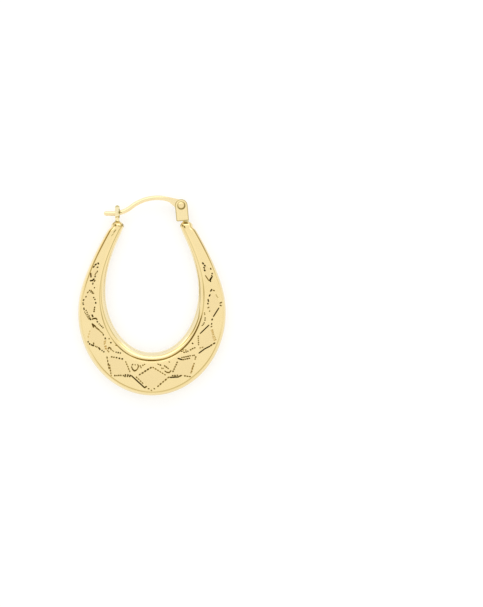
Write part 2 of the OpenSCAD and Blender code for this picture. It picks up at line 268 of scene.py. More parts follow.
def seam_shade(x, y):
    """How dark the seams and the painted shade about the joints make each point."""
    shade = np.zeros_like(x)
    for x0, y0, x1, y1, half_width, darkness in SEAM_AND_SHADE_MARKS:
        reach = np.array([x1 - x0, y1 - y0])
        share = np.clip(((x - x0) * reach[0] + (y - y0) * reach[1]) / (reach @ reach), 0, 1)
        off = np.hypot(x - x0 - share * reach[0], y - y0 - share * reach[1])
        shade = np.maximum(shade, darkness * np.exp(-(off / half_width) ** 2))
    return shade


def half_shell(name, runs, face_points, face_up, engrave=None):
    """One pressed half of the crescent, closed along its middle layer."""
    across, height, part, crease = half_sections(runs, face_points)
    x, y = place_stations(runs, across)
    marks = {"pale": painted_pale_walls(across, runs, part, crease)}
    if engrave is not None:
        marks.update(engrave(x, y, across, runs, part, crease))
        height = height - marks.pop("depth")
    caps = len(CAP_TURNS)
    marks = {label: np.vstack([values[:1]] * caps + [values] + [values[-1:]] * caps)
             for label, values in marks.items()}
    x, y, height = with_caps(x, y, height)
    rows, sides = x.shape
    points = np.stack([x, y, height * face_up], 2).reshape(-1, 3)
    faces = closed_tube(rows, sides)
    if face_up < 0:
        faces = [f[::-1] for f in faces]
    piece = make_piece(name, points, faces)
    if engrave is not None:
        marks["cut"] = np.maximum(marks["cut"], seam_shade(x, y))
    for label, values in marks.items():
        mark(piece, label, values)
    return piece


# The four corners of each lozenge, in order round it; inside them the face is left satin
LOZENGES = [
    [(-0.09, -8.89), (2.25, -10.42), (-0.09, -12.21), (-2.29, -10.28)],
    [(-6.11, -7.45), (-3.94, -7.91), (-2.71, -10.22), (-5.76, -10.09)],
    [(-8.42, -2.88), (-6.63, -4.59), (-6.54, -6.83), (-9.05, -5.29)],
    [(-8.73, 1.85), (-7.89, -0.08), (-8.50, -2.18), (-9.75, 0.03)],
    [(-7.58, 5.63), (-7.64, 4.31), (-8.34, 2.83), (-8.67, 4.03)],
    [(3.70, -7.74), (5.97, -7.36), (5.52, -10.26), (2.44, -10.39)],
    [(8.04, -3.08), (8.86, -5.38), (6.56, -6.97), (6.50, -4.42)],
    [(8.49, 1.93), (9.63, -0.03), (8.41, -2.35), (7.71, -0.45)],
    [(7.29, 5.52), (8.27, 4.79), (8.04, 2.97), (7.37, 4.03)],
]

# Rows of cut nicks: from x, y to x, y, number of nicks, strength of the cut, and how brown it is
CUT_ROWS = [
    # On the lozenge at the bottom
    (0.04, -8.96, -1.87, -10.15, 5, 0.9, 0.1), (0.04, -8.97, 2.01, -10.14, 6, 0.5, 0.3),
    (0.71, -11.82, 2.47, -10.28, 5, 0.72, 0.2), (-2.26, -10.29, -1.14, -11.34, 4, 0.55, 0.2),
    (-2.89, -10.15, -2.49, -10.53, 1, 0.9, 0), (-2.57, -10.44, -1.02, -11.87, 1, 1, 0),
    (-0.95, -11.83, -0.72, -11.68, 1, 0.8, 0), (-0.53, -12.03, -0.36, -12.03, 1, 0.6, 0.1),
    (-0.12, -12.26, 0.02, -12.26, 1, 0.35, 0.3), (0.26, -12.05, 0.43, -12.00, 1, 0.6, 0.1),
    # On the curls beside its top
    (-2.85, -8.89, -2.70, -9.28, 1, 0.6, 0.1), (-2.70, -9.28, -2.46, -9.52, 1, 0.72, 0.1),
    (-2.46, -9.52, -2.18, -9.44, 1, 0.72, 0.1), (-2.15, -9.41, -1.95, -9.17, 1, 0.48, 0.2),
    (-1.93, -9.13, -1.87, -8.86, 1, 0.45, 0.2), (-1.87, -8.82, -2.00, -8.62, 1, 0.45, 0.2),
    (-2.81, -8.74, -2.61, -8.58, 1, 0.6, 0.1), (-2.37, -8.60, -2.29, -8.74, 1, 0.45, 0.1),
    (-1.69, -8.74, -1.45, -9.17, 2, 0.6, 0.1), (-1.37, -8.78, -0.88, -8.61, 2, 0.62, 0.1),
    (0.74, -8.54, 1.34, -8.79, 2, 0.8, 0.1), (1.70, -8.74, 2.39, -9.27, 3, 0.75, 0.1),
    (1.31, -9.17, 1.70, -9.17, 2, 0.45, 0.2), (1.81, -9.52, 2.09, -9.73, 1, 0.55, 0.1),
    (2.09, -9.73, 2.46, -9.76, 1, 0.5, 0.2), (2.49, -9.73, 2.70, -9.46, 1, 0.55, 0.2),
    (2.37, -8.29, 2.51, -8.29, 1, 0.6, 0.1),
    # On the lozenge left of it
    (-5.77, -7.55, -5.13, -7.63, 2, 0.62, 0.1), (-5.13, -7.67, -3.93, -7.88, 3, 0.98, 0),
    (-6.29, -7.42, -5.97, -9.34, 4, 0.7, 0.2), (-5.93, -8.57, -5.70, -10.02, 4, 0.62, 0.3),
    (-3.70, -8.12, -3.02, -9.74, 5, 0.45, 0.2), (-5.31, -10.18, -4.19, -10.15, 4, 0.82, 0.1),
    (-4.11, -10.23, -3.55, -10.05, 2, 0.95, 0), (-3.91, -10.30, -2.93, -10.28, 3, 0.85, 0),
    (-3.49, -10.09, -2.85, -10.19, 2, 1, 0), (-5.73, -10.12, -5.62, -10.18, 1, 0.45, 0.8),
    # On the scroll above that
    (-6.03, -5.03, -5.91, -5.03, 1, 0.42, 0.2), (-5.80, -5.54, -5.65, -5.63, 1, 0.92, 0),
    (-5.06, -5.91, -4.89, -6.01, 1, 0.5, 0.2), (-6.11, -6.45, -5.97, -6.24, 1, 0.7, 0.3),
    (-5.97, -6.24, -5.72, -6.38, 1, 0.75, 0.2), (-5.72, -6.41, -5.68, -6.61, 1, 0.5, 0.3),
    (-6.26, -6.61, -5.96, -6.92, 2, 0.6, 0.6), (-5.56, -6.64, -5.26, -6.86, 2, 0.62, 0.1),
    (-5.14, -6.89, -4.25, -7.06, 3, 0.97, 0),
    # On the second lozenge on the left
    (-8.36, -2.94, -7.86, -3.33, 1, 0.80, 0.1), (-7.83, -3.44, -7.36, -3.81, 1, 0.52, 0.2),
    (-7.33, -3.86, -6.82, -4.31, 1, 0.36, 0.2), (-6.82, -4.42, -6.74, -4.56, 1, 0.75, 0.1),
    (-8.27, -3.08, -8.14, -3.45, 1, 0.5, 0), (-6.54, -4.90, -6.49, -5.07, 1, 0.85, 0.1),
    (-6.47, -5.21, -6.53, -5.77, 2, 0.42, 0.9), (-6.45, -5.91, -6.33, -6.61, 2, 0.48, 1),
    (-6.60, -5.30, -6.64, -5.90, 2, 0.24, 0.8), (-6.58, -5.98, -6.48, -6.55, 2, 0.28, 0.8),
    (-9.01, -5.32, -8.59, -5.89, 2, 1, 0), (-8.53, -5.85, -8.06, -6.02, 1, 1, 0),
    (-8.17, -5.57, -8.08, -5.82, 1, 0.75, 0.1), (-7.97, -6.08, -7.55, -6.22, 2, 0.75, 0.1),
    (-7.44, -6.27, -7.22, -6.55, 1, 0.85, 0.1), (-7.08, -6.58, -6.57, -6.92, 2, 0.97, 0),
    (-8.63, -3.81, -8.95, -4.93, 3, 0.16, 1),
    # On the scroll above the second
    (-8.36, -1.68, -8.24, -1.97, 1, 0.92, 0), (-8.34, -2.31, -8.14, -2.21, 1, 0.7, 0.1),
    (-8.11, -2.21, -7.78, -2.18, 1, 0.82, 0), (-7.76, -2.20, -7.66, -2.38, 1, 0.75, 0.1),
    (-7.68, -2.60, -7.55, -2.72, 1, 0.92, 0), (-7.47, -2.87, -6.74, -3.58, 4, 0.92, 0),
    # On the third lozenge on the left
    (-8.78, 1.82, -8.22, 1.26, 3, 0.85, 0), (-8.56, 1.82, -8.06, 1.23, 3, 0.5, 0.2),
    (-8.21, 0.84, -7.87, 0.36, 2, 0.92, 0), (-7.86, 0.08, -7.83, -0.11, 1, 0.97, 0),
    (-7.97, -0.50, -8.11, -1.34, 3, 0.85, 0.1), (-8.39, -1.68, -8.28, -1.85, 1, 0.9, 0),
    (-8.84, 1.57, -9.06, 1.34, 1, 0.55, 0.2), (-9.15, 0.92, -9.26, 0.77, 1, 0.82, 0.1),
    (-9.47, 0.46, -9.62, 0.31, 1, 0.9, 0), (-9.67, 0.08, -9.54, -0.36, 2, 0.92, 0),
    (-9.51, -0.67, -9.46, -1.01, 1, 1, 0), (-9.26, -0.95, -8.59, -2.25, 5, 0.62, 0),
    (-9.45, -1.20, -8.75, -2.34, 6, 0.45, 0), (-8.67, -2.21, -8.53, -2.38, 1, 1, 0),
    # On the small lozenge on the left
    (-7.55, 5.60, -7.44, 5.40, 1, 1, 0), (-7.97, 5.26, -7.75, 5.43, 1, 0.85, 0),
    (-8.06, 5.12, -8.20, 4.93, 1, 0.85, 0), (-7.69, 4.93, -7.50, 5.00, 1, 0.85, 0),
    (-7.58, 4.48, -7.69, 4.23, 1, 0.6, 0.1), (-7.78, 4.23, -7.97, 3.84, 2, 0.5, 0.1),
    (-8.56, 4.17, -8.50, 3.56, 1, 1, 0.2), (-7.90, 3.78, -7.96, 3.58, 1, 0.85, 0),
    (-8.06, 3.36, -8.28, 3.14, 1, 0.95, 0), (-8.62, 3.08, -8.22, 3.12, 1, 0.92, 0),
    (-7.94, 3.16, -8.06, 2.97, 1, 0.6, 0.1), (-8.22, 2.80, -8.28, 2.55, 1, 0.75, 0.1),
    (-8.08, 2.10, -7.97, 2.10, 1, 0.8, 0.1),
    # On the lozenge right of the bottom
    (3.66, -7.78, 4.21, -7.95, 1, 0.9, 0), (4.07, -7.70, 5.50, -7.39, 5, 0.8, 0.1),
    (4.26, -7.99, 5.38, -7.71, 4, 0.78, 0.1), (5.58, -7.38, 6.03, -7.31, 2, 0.62, 0.1),
    (3.62, -8.18, 2.89, -9.74, 5, 0.62, 0.1), (6.18, -7.45, 6.03, -8.01, 2, 0.62, 0.2),
    (5.94, -8.34, 5.52, -9.77, 4, 0.62, 0.5), (5.81, -8.62, 5.44, -9.92, 5, 0.36, 0.6),
    (2.56, -10.43, 3.73, -10.37, 1, 1, 0), (2.75, -10.19, 3.73, -10.14, 3, 0.85, 0),
    (3.79, -10.30, 4.19, -10.14, 1, 0.8, 0.1), (4.46, -10.19, 5.50, -10.36, 3, 0.75, 0.1),
    # On the scroll above the right one
    (5.29, -5.35, 5.40, -5.35, 1, 0.5, 0.1), (5.64, -5.63, 5.76, -5.75, 1, 0.82, 0.1),
    (4.01, -6.78, 4.68, -6.97, 2, 0.85, 0.1), (4.68, -6.94, 5.16, -6.72, 2, 0.88, 0),
    (4.21, -6.64, 4.91, -6.64, 2, 0.45, 0.2), (5.27, -6.64, 6.14, -6.22, 3, 0.72, 0.1),
    # On the second lozenge on the right
    (8.02, -3.09, 6.73, -4.34, 1, 1, 0), (6.49, -4.56, 6.53, -5.99, 5, 0.42, 0.1),
    (8.91, -5.54, 8.10, -6.06, 2, 0.85, 0.1), (8.10, -6.08, 7.40, -6.44, 1, 0.9, 0),
    (7.40, -6.44, 6.57, -7.06, 1, 1, 0), (7.26, -6.16, 6.59, -6.36, 2, 0.25, 0.2),
    (8.46, -3.67, 8.69, -4.54, 3, 0.42, 0.9), (8.69, -4.56, 8.97, -5.29, 3, 0.46, 0.9),
    (8.30, -3.72, 8.53, -4.59, 4, 0.24, 1), (8.53, -4.62, 8.78, -5.32, 4, 0.26, 1),
    # On the scroll above the second right one
    (7.48, -1.99, 7.44, -2.56, 2, 0.88, 0), (7.40, -2.72, 6.98, -3.29, 3, 0.8, 0),
    (7.34, -1.32, 7.40, -1.74, 2, 0.32, 0.2),
    # On the third lozenge on the right
    (8.39, 1.88, 8.21, 1.60, 1, 0.9, 0), (8.16, 1.15, 8.02, 0.90, 1, 0.9, 0),
    (7.85, 0.50, 7.93, 0.13, 1, 1, 0), (7.82, -0.03, 7.86, -0.20, 1, 0.85, 0),
    (7.76, -0.73, 8.04, -0.64, 2, 0.65, 0.1), (8.06, -1.12, 8.11, -1.20, 1, 0.4, 0.1),
    (8.55, 1.75, 8.80, 1.68, 1, 0.5, 0.2), (8.91, 1.18, 9.30, 0.67, 3, 0.12, 0.3),
    (9.50, -0.06, 9.78, 0.06, 1, 0.62, 0.1), (9.50, -0.31, 9.75, -0.45, 1, 0.62, 0.1),
    (9.39, -0.70, 8.59, -1.96, 1, 1, 0), (8.49, -2.24, 8.38, -2.44, 1, 0.92, 0),
    (8.39, -2.86, 8.34, -3.05, 1, 0.8, 0), (8.24, -3.33, 8.46, -3.36, 2, 0.62, 0.1),
    # On the small lozenge on the right
    (7.09, 5.60, 7.23, 5.40, 1, 1, 0), (7.34, 5.26, 7.48, 5.12, 1, 0.92, 0),
    (7.22, 4.98, 7.40, 4.82, 1, 0.92, 0), (7.32, 4.62, 7.46, 4.45, 1, 1, 0),
    (8.21, 4.84, 8.27, 4.65, 1, 0.62, 0.1), (8.45, 4.23, 8.38, 3.64, 2, 0.92, 0),
    (8.46, 3.70, 8.16, 3.11, 1, 1, 0), (8.32, 3.53, 8.07, 3.08, 1, 1, 0),
    (8.13, 3.11, 8.25, 2.94, 1, 1, 0), (7.96, 3.11, 7.50, 3.80, 1, 0.42, 0.2),
]

# A cut's half width and depth are a least size and what a full strength adds. The nicks of a row fill
# half of it and run on a little at each end, a long nick is cut finer, and a brown row has a faint line
# under its nicks
NICK_HALF_WIDTH, NICK_DEPTH = (0.070, 0.034), (0.018, 0.034)
NICK_SHARE, NICK_RUN_ON, LONE_NICK_RUN_ON = 0.50, 0.02, 0.03
LONG_NICK, LONG_NICK_SHARE = 0.35, 0.84
LINK_HALF_WIDTH, LINK_DEPTH, LINK_TONE = 0.075, 0.010, 0.20
# The hand of the engraver: how far nicks swing, stray sideways and vary in size
NICK_SWING, NICK_SWAY, NICK_SIZES = 0.10, 0.012, (0.88, 1.12)
draw = np.random.default_rng(11)


def nicks_along(x0, y0, x1, y1, count, strength, brown):
    """The nicks of one row: centre, direction, half length, half width, depth, darkness and brownness."""
    start, end = np.array([x0, y0]), np.array([x1, y1])
    reach = np.linalg.norm(end - start)
    along = (end - start) / reach
    side = np.array([-along[1], along[0]])
    half_width = NICK_HALF_WIDTH[0] + NICK_HALF_WIDTH[1] * strength
    depth = NICK_DEPTH[0] + NICK_DEPTH[1] * strength
    half_length = reach / count / 2 * NICK_SHARE + NICK_RUN_ON
    if count == 1:
        half_length = reach / 2 + LONE_NICK_RUN_ON
    if half_length > LONG_NICK:
        half_width *= LONG_NICK_SHARE
    nicks = []
    if count > 1 and brown > 0:
        nicks.append(((start + end) / 2, along, reach / 2, LINK_HALF_WIDTH, LINK_DEPTH,
                      LINK_TONE * strength, brown))
    for k in range(count):
        swing = draw.normal(0, NICK_SWING) if count > 1 else 0.0
        sway = draw.normal(0, NICK_SWAY) if count > 1 else 0.0
        share = (k + 0.5) / count
        aim = along * math.cos(swing) + side * math.sin(swing)
        scale = draw.uniform(*NICK_SIZES)
        nicks.append((start + along * share * reach + side * sway, aim, half_length * scale,
                      half_width * scale, depth, strength ** 0.5, brown))
    return nicks


def painted_shade_line(table, runs, off, spread):
    """How dark a line of painted shade is, by distance along the body and distance off the line's place."""
    shift = by_run(table, runs, 2) if len(table[0]) > 2 else 0.0
    return by_run(table, runs) * np.exp(-((off - shift) / spread) ** 2)


# The satin of a lozenge starts a little inside its edges, and the dirt and painted shade in a cut fill it to
# near the brim
SATIN_FROM, SATIN_BLEND = 0.03, 0.12
NICK_DARK_FILL = 4
CREASE_BROWN, CREASE_BROWN_ABOVE = 0.35, 0.03
RIM_LINE_DEPTH = 0.02
BEVEL_SHADE_EDGE = 0.3


def engraved(x, y, across, runs, part, crease):
    """Depth of the cuts at each point, and where the gold is dark, brown or satin."""
    depth, cut, brown, satin = (np.zeros_like(x) for _ in range(4))
    for corners in LOZENGES:
        inside = np.full_like(x, np.inf)
        for k in range(4):
            a, b = np.array(corners[k]), np.array(corners[(k + 1) % 4])
            edge = (b - a) / np.linalg.norm(b - a)
            inside = np.minimum(inside, edge[1] * (x - a[0]) - edge[0] * (y - a[1]))
        satin = np.maximum(satin, ramp((inside - SATIN_FROM) / SATIN_BLEND))
    on_face = np.broadcast_to(part >= 2, x.shape)
    rows_low, rows_high = x.min(1), x.max(1)
    for row in CUT_ROWS:
        for centre, aim, half_length, half_width, nick_depth, darkness, brownness in nicks_along(*row):
            room = half_length + half_width
            near = np.where((rows_low < centre[0] + room) & (rows_high > centre[0] - room))[0]
            dx, dy = x[near] - centre[0], y[near] - centre[1]
            along = dx * aim[0] + dy * aim[1]
            off = -dx * aim[1] + dy * aim[0]
            bowl = np.clip(1 - (along / half_length) ** 4, 0, 1)
            bowl = bowl * np.clip(1 - np.abs(off) / half_width, 0, 1) * on_face[near]
            filled = np.clip(bowl * NICK_DARK_FILL, 0, 1)
            depth[near] = np.maximum(depth[near], nick_depth * bowl)
            cut[near] = np.maximum(cut[near], darkness * filled)
            brown[near] = np.maximum(brown[near], brownness * filled)
    groove_at = across[:, np.where(part == 1)[0][1], None]
    crease_at = across[:, crease, None]
    inner, outer = across[:, :1], across[:, -1:]
    crease_line = painted_shade_line(CREASE_PAINTED_SHADE, runs, across - crease_at, CREASE_SPREAD)
    rim_line = painted_shade_line(RIM_PAINTED_SHADE, runs, across - inner, RIM_SPREAD)
    on_bevel = ramp((across - crease_at) / (outer - crease_at) / BEVEL_SHADE_EDGE)
    for darkening in (painted_shade_line(GROOVE_PAINTED_SHADE, runs, across - groove_at, GROOVE_SPREAD), crease_line,
                  by_run(BEVEL_PAINTED_SHADE, runs) * on_bevel, rim_line):
        cut = np.maximum(cut, darkening)
    brown = np.maximum(brown, np.where(crease_line > CREASE_BROWN_ABOVE, CREASE_BROWN, 0))
    depth = np.maximum(depth, RIM_LINE_DEPTH * rim_line)
    return {"depth": depth, "cut": cut, "brown_tint": brown, "satin": satin}


# The walls down to the opening and to the table are painted paler, a painted reflection. The outer
# one changes along the body; each row is distance along it and how pale
PALE_INSIDE = 0.9
PALE_OUTSIDE = [(-15, 0.9), (-11, 0.6), (-8, 0.7), (-4, 0.55), (0, 0.3), (4, 0.2), (12, 0.3),
                (16, 0.55), (21, 0.9)]
# Where the paleness starts to fade and over how much, as shares of the rim and of the bevel
INSIDE_FADE, OUTSIDE_FADE = (0.15, 0.6), (0.05, 0.95)


def painted_pale_walls(across, runs, part, crease):
    """How pale the painted reflection makes each point, from the edges in."""
    inner, outer = across[:, :1], across[:, -1:]
    groove_at, crease_at = across[:, np.where(part == 1)[0][0], None], across[:, crease, None]
    from_inside = (across - inner) / (groove_at - inner)
    from_outside = (outer - across) / (outer - crease_at)
    inside = 1 - ramp((from_inside - INSIDE_FADE[0]) / INSIDE_FADE[1])
    outside = 1 - ramp((from_outside - OUTSIDE_FADE[0]) / OUTSIDE_FADE[1])
    return np.maximum(PALE_INSIDE * inside, by_run(PALE_OUTSIDE, runs) * outside)


# The sections stand closely where the face is engraved, and wider apart up the arms
ENGRAVED_REACH, ENGRAVED_SECTIONS, ARM_SECTIONS, FRONT_FACE_POINTS = 20.8, 905, 34, 62
engraved_runs = np.linspace(-ENGRAVED_REACH, ENGRAVED_REACH, ENGRAVED_SECTIONS)
upper_runs = np.linspace(ENGRAVED_REACH, HALF_LENGTH, ARM_SECTIONS)[1:]
front_runs = np.concatenate([-upper_runs[::-1], engraved_runs, upper_runs])
crescent_front = half_shell("crescent_front", front_runs, FRONT_FACE_POINTS, 1, engraved)


class Finish:
    """A new material with its shader, and short ways to add nodes to it and join them."""

    def __init__(self, name):
        self.material = bpy.data.materials.new(name)
        self.material.use_nodes = True
        self.shader = self.material.node_tree.nodes["Principled BSDF"]

    def feed(self, socket, source):
        """Set a socket to a value, or join another node's output to it."""
        if isinstance(source, bpy.types.NodeSocket):
            self.material.node_tree.links.new(source, socket)
        else:
            socket.default_value = source

    def add(self, kind, **sockets):
        made = self.material.node_tree.nodes.new(kind)
        for name, source in sockets.items():
            self.feed(made.inputs[name.replace("_", " ")], source)
        return made

    def mixed(self, share, first, second, way="MIX"):
        """The first colour mixed with the second, by a share."""
        mix = self.add("ShaderNodeMix")
        mix.data_type, mix.blend_type = "RGBA", way
        for name, source in (("Factor", share), ("A", first), ("B", second)):
            self.feed(mix.inputs[name], source)
        return mix.outputs["Result"]

    def scaled(self, amount, scale, plus):
        """A number times a scale, with another added."""
        sums = self.add("ShaderNodeMath")
        sums.operation = "MULTIPLY_ADD"
        for socket, source in zip(sums.inputs, (amount, scale, plus)):
            self.feed(socket, source)
        return sums.outputs["Value"]

    def marked(self, label):
        """A number that was kept at the points of the piece."""
        mark_node = self.add("ShaderNodeAttribute")
        mark_node.attribute_name = label
        return mark_node.outputs["Fac"]


# How much of red, green and blue the plain and the brown darkening take where they are thickest,
# and how much more the very deepest takes. The darkening is dirt and painted shade in the cuts and about
# the joints, and painted shade in the groove, crease, bevel, necks, cheeks and rivet
DARK_TAKES, BROWN_TAKES = (3.0, 3.4, 5.5), (0.75, 1.25, 2.4)
DARKENING_STEPS = (0, 0.12, 0.25, 0.4, 0.6, 0.8, 1)
DEEPEST_ADDS = 0.3
# The satin's colour, and the pale colour of the painted reflection
SATIN_COLOUR, PALE_COLOUR = (0.90, 0.72, 0.375, 1), (0.88, 0.79, 0.56, 1)
BODY_GOLDS = (0.96, 0.79, 0.43, 1), (0.91, 0.725, 0.36, 1)
# The colour drifts over millimetres, and hairline marks of the polishing cloth run one way
DRIFT_SCALE, HAIRLINE_SCALE, HAIRLINE_STRETCH, HAIRLINE_TURN = 260.0, 9000.0, 0.18, 0.6
HAIRLINE_DEPTH, HAIRLINE_STRENGTH, SATIN_GRAIN = 0.00002, 0.05, 0.35
ROUGH_RANGE, SATIN_ROUGHER, CUT_ROUGHER = (0.7, 1.4), 0.12, 0.35


def set_stops(node, table):
    """Give a colour ramp its places and colours."""
    stops = node.color_ramp.elements
    for place, colour in table:
        stop = stops.new(place) if 0 < place < 1 else stops[0 if place == 0 else -1]
        stop.color = colour


def darkened_colour(finish, thickness, takes):
    """What a darkening of some thickness, dirt and painted shade, leaves of the gold's colour."""
    darkening = finish.add("ShaderNodeValToRGB", Fac=thickness)
    table = []
    for place in DARKENING_STEPS:
        weight = place * (1 + DEEPEST_ADDS * place ** 4)
        table.append((place, [math.exp(-take * weight) for take in takes] + [1]))
    set_stops(darkening, table)
    return darkening.outputs["Color"]


def gold(name, colour, deep_colour, roughness, pale_colour=PALE_COLOUR):
    """Worn polished gold: a slight drift of colour, hairline polish marks, dirt and painted shade in its
    cuts and hollows, and a painted pale reflection on its walls.
    """
    finish = Finish(name)
    cut, brown, satin, pale = (finish.marked(label) for label in ("cut", "brown_tint", "satin", "pale"))
    where = finish.add("ShaderNodeTexCoord").outputs["Object"]
    drift = finish.add("ShaderNodeTexNoise", Vector=where, Scale=DRIFT_SCALE, Detail=3.0, Roughness=0.55)
    stretched = finish.add("ShaderNodeMapping", Vector=where, Scale=(1.0, HAIRLINE_STRETCH, 1.0),
                           Rotation=(0.0, 0.0, HAIRLINE_TURN))
    hairlines = finish.add("ShaderNodeTexNoise", Vector=stretched.outputs["Vector"], Scale=HAIRLINE_SCALE,
                           Detail=4.0, Roughness=0.6).outputs["Fac"]
    clean = finish.mixed(drift.outputs["Fac"], colour, deep_colour)
    clean = finish.mixed(pale, finish.mixed(satin, clean, SATIN_COLOUR), pale_colour)
    plain_darkening, brown_darkening = (darkened_colour(finish, cut, takes) for takes in (DARK_TAKES, BROWN_TAKES))
    darkening = finish.mixed(brown, plain_darkening, brown_darkening)
    finish.feed(finish.shader.inputs["Base Color"], finish.mixed(1.0, clean, darkening, "MULTIPLY"))
    rough = finish.add("ShaderNodeMapRange", Value=hairlines, To_Min=roughness * ROUGH_RANGE[0],
                       To_Max=roughness * ROUGH_RANGE[1]).outputs["Result"]
    rough = finish.scaled(cut, CUT_ROUGHER, finish.scaled(satin, SATIN_ROUGHER, rough))
    finish.feed(finish.shader.inputs["Roughness"], rough)
    bump = finish.add("ShaderNodeBump", Height=hairlines, Distance=HAIRLINE_DEPTH,
                      Strength=finish.scaled(satin, SATIN_GRAIN, HAIRLINE_STRENGTH))
    finish.feed(finish.shader.inputs["Normal"], bump.outputs["Normal"])
    finish.shader.inputs["Metallic"].default_value = 1.0
    return finish.material


crescent_front.data.materials.append(gold("polished_engraved_gold", *BODY_GOLDS, 0.13))
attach(crescent_front, "body")
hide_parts("hoop")


# The back of the crescent: the lower pressed half, soldered to the front
# round the outline and the opening. It has the same moulding, left plain.

BACK_SECTIONS, BACK_FACE_POINTS = 421, 22
back_runs = np.linspace(-HALF_LENGTH, HALF_LENGTH, BACK_SECTIONS)
crescent_back = half_shell("crescent_back", back_runs, BACK_FACE_POINTS, -1)
crescent_back.data.materials.append(gold("polished_plain_gold", *BODY_GOLDS, 0.14))
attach(crescent_back, "body")
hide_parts("hoop")


# The catch: a narrow strip of gold bent into a fork of two round-topped
# prongs, on a short round neck that is soldered to the left cap. The ear
# wire springs in between the prongs.

CATCH_X, TIP_Y = -4.84, 12.5
WIRE_R = 0.325
CATCH_GAP_HALF, PRONG_THICK, PRONG_RISE = 0.375, 0.30, 1.15
BEND_Y = TIP_Y - 0.01
STRIP_SIDES, STRIP_SQUARENESS = 20, 0.45
PRONG_ROUND_TURNS = np.radians([12, 30, 48, 66, 90])
BEND_STEPS, PRONG_STEPS, BELOW_ROUND, ABOVE_BEND = 19, 14, 0.08, 0.1
# The prongs' tips are a little darker, and the bend below them is painted pale, a painted highlight where it
# lies in shade
PRONG_TIP_DARK, PRONG_TIP_REACH, BEND_PALE_REACH = 0.12, 0.25, 0.4
# The necks stand a little below the top of the caps
CAP_TOP = ARM_RISE + CAP_RISE * math.sin(math.radians(60))


def merged_piece(name, parts):
    """One object from several closed shells that are soldered into each other, with their dirt and painted
    shade, and their painted paleness.
    """
    points, faces, dark_levels, pales = [], [], [], []
    for part_points, part_faces, part_dark, part_pale in parts:
        faces += [[i + len(points) for i in f] for f in part_faces]
        points += list(part_points)
        dark_levels.append(np.broadcast_to(part_dark, len(part_points)))
        pales.append(np.broadcast_to(part_pale, len(part_points)))
    points = np.array(points, dtype=float)
    piece = make_piece(name, points, faces)
    seams = np.where(points[:, 2] > 0, seam_shade(points[:, 0], points[:, 1]), 0)
    mark(piece, "cut", np.maximum(np.concatenate(dark_levels), seams))
    mark(piece, "pale", np.concatenate(pales))
    return piece


def lathe(profile, place, turned, sides=40, darkest=None, pale=0.0):
    """A closed round form: its profile is radius, distance along the axis and how dark it is painted, as
    shade.
    """
    angles = np.arange(sides) / sides * 2 * math.pi
    points = [turned(r * math.cos(a), r * math.sin(a), h) for r, h, _ in profile for a in angles]
    points = np.array(points) + np.array(place)
    shade = np.ones(sides) if darkest is None else ring_shade(angles, darkest)
    darkening = np.concatenate([level * shade for _, _, level in profile])
    return points, closed_tube(len(profile), sides), darkening, pale


RING_SHADE, RING_SHADE_SWING = 0.58, 0.42


def ring_shade(angles, darkest):
    """A painted dark ring is darkest on one side, as painted shade, and faint on the other."""
    return RING_SHADE + RING_SHADE_SWING * np.cos(np.asarray(angles) - darkest)


NECK_WIDER, NECK_DEEPER = 1.1, 1.5


def up_the_arm(a, b, h):
    """An axis that runs up towards the ear wire, for a neck that is deeper than it is wide."""
    return (NECK_WIDER * b, h, NECK_DEEPER * a)


def squared_circle(turn, squareness):
    """A place on a circle of radius 1 that is drawn out towards a square, the more the lower the number."""
    c, s = math.cos(turn), math.sin(turn)
    return math.copysign(abs(c) ** squareness, c), math.copysign(abs(s) ** squareness, s)


def catch_strip():
    """The bent strip, from one prong's tip round the bend to the other's."""
    middle = CATCH_GAP_HALF + PRONG_THICK / 2
    top = TIP_Y + PRONG_RISE
    arc = [(BEND_Y + middle * math.sin(a), middle * math.cos(a))
           for a in np.linspace(0, -math.pi, BEND_STEPS)]
    prong = np.linspace(top - WIRE_R - BELOW_ROUND, BEND_Y + ABOVE_BEND, PRONG_STEPS)
    heights = np.concatenate([top - WIRE_R * (1 - np.cos(PRONG_ROUND_TURNS)), prong])
    path = np.array([(h, middle) for h in heights] + arc + [(h, -middle) for h in heights[::-1]])
    widths = np.full(len(path), WIRE_R)
    widths[:len(PRONG_ROUND_TURNS)] = WIRE_R * np.sin(PRONG_ROUND_TURNS)
    widths[-len(PRONG_ROUND_TURNS):] = widths[:len(PRONG_ROUND_TURNS)][::-1]
    tangent = np.gradient(path, axis=0)
    tangent /= np.linalg.norm(tangent, axis=1)[:, None]
    points = []
    for (py, pz), (ty, tz), half in zip(path, tangent, widths):
        for k in range(STRIP_SIDES):
            across, through = squared_circle(-2 * math.pi * k / STRIP_SIDES, STRIP_SQUARENESS)
            through *= PRONG_THICK / 2
            points.append((CATCH_X + half * across, py - tz * through, pz + ty * through))
    y = np.array(points)[:, 1]
    darkening = np.where(y > top - PRONG_TIP_REACH, PRONG_TIP_DARK, 0)
    return points, closed_tube(len(path), STRIP_SIDES), darkening, ramp((BEND_Y - y) / BEND_PALE_REACH + 1)


catch_foot = BEND_Y - CATCH_GAP_HALF - PRONG_THICK
neck_top = catch_foot - CAP_TOP
# The neck from the cap up: radius, height and painted shade
catch_neck = [(0.30, -0.30, 0), (0.50, -0.03, 0.12), (0.41, 0.03, 0.20), (0.34, 0.10, 0.14),
              (0.30, 0.20, 0.05), (0.27, 0.35, 0), (0.26, neck_top, 0), (0.30, neck_top + 0.15, 0),
              (0.31, neck_top + 0.30, 0)]
